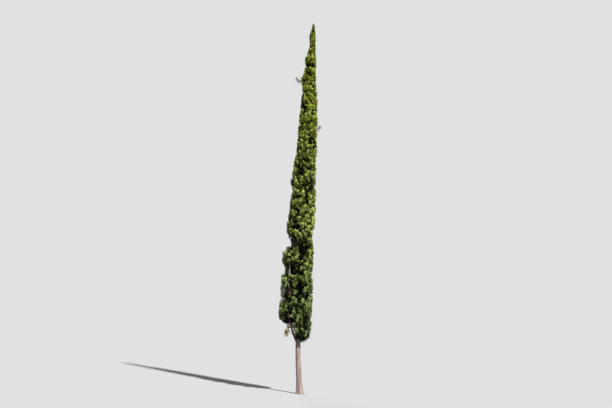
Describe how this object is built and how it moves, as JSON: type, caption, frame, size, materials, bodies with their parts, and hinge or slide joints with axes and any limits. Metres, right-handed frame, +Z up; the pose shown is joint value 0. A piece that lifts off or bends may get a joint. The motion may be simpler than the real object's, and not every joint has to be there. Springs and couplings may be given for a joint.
{
  "type": "italian cypress tree",
  "caption": "Tall, very slim evergreen conifer: a dense dark-green spire of upright sprays on a short bare foot of pale trunk with a slight sweep at its base.",
  "frame": {"origin": "centre of the flat cut under the trunk, at ground level", "axes": "+Z up along the tree, -Y towards the side seen in the picture, +X to its right"},
  "size_m": [1.3927, 1.4027, 15.5],
  "materials": {
    "bark": "rough",
    "foliage": "matte",
    "dry_foliage": "matte"
  },
  "bodies": {
    "root": {"bough_01_back_right": "bark", "bough_01_front_right": "bark", "bough_01_left": "bark", "bough_02_back_left": "bark", "bough_02_front_left": "bark", "bough_02_right": "bark", "bough_03_left": "bark", "bough_04_back_left": "bark", "bough_04_front_left": "bark", "bough_dry": "bark", "foliage_01_back_right": "foliage", "foliage_01_front_right": "foliage", "foliage_01_left": "foliage", "foliage_02_back_left": "foliage", "foliage_02_front_left": "foliage", "foliage_02_right": "foliage", "foliage_03_back_right": "foliage", "foliage_03_front_right": "foliage", "foliage_03_left": "foliage", "foliage_04_back_left": "foliage", "foliage_04_front_left": "foliage", "foliage_04_right": "foliage", "foliage_05_back_right": "foliage", "foliage_05_front_right": "foliage", "foliage_05_left": "foliage", "foliage_06_back_left": "foliage", "foliage_06_front_left": "foliage", "foliage_06_right": "foliage", "foliage_07_back_right": "foliage", "foliage_07_front_right": "foliage", "foliage_07_left": "foliage", "foliage_08_back_left": "foliage", "foliage_08_front_left": "foliage", "foliage_08_right": "foliage", "foliage_09_back_right": "foliage", "foliage_09_front_right": "foliage", "foliage_09_left": "foliage", "foliage_10_back": "foliage", "foliage_10_front": "foliage", "foliage_11_left": "foliage", "foliage_11_right": "foliage", "foliage_dry": "dry_foliage", "foliage_tip": "foliage", "trunk": "bark"}
  },
  "joints": []
}
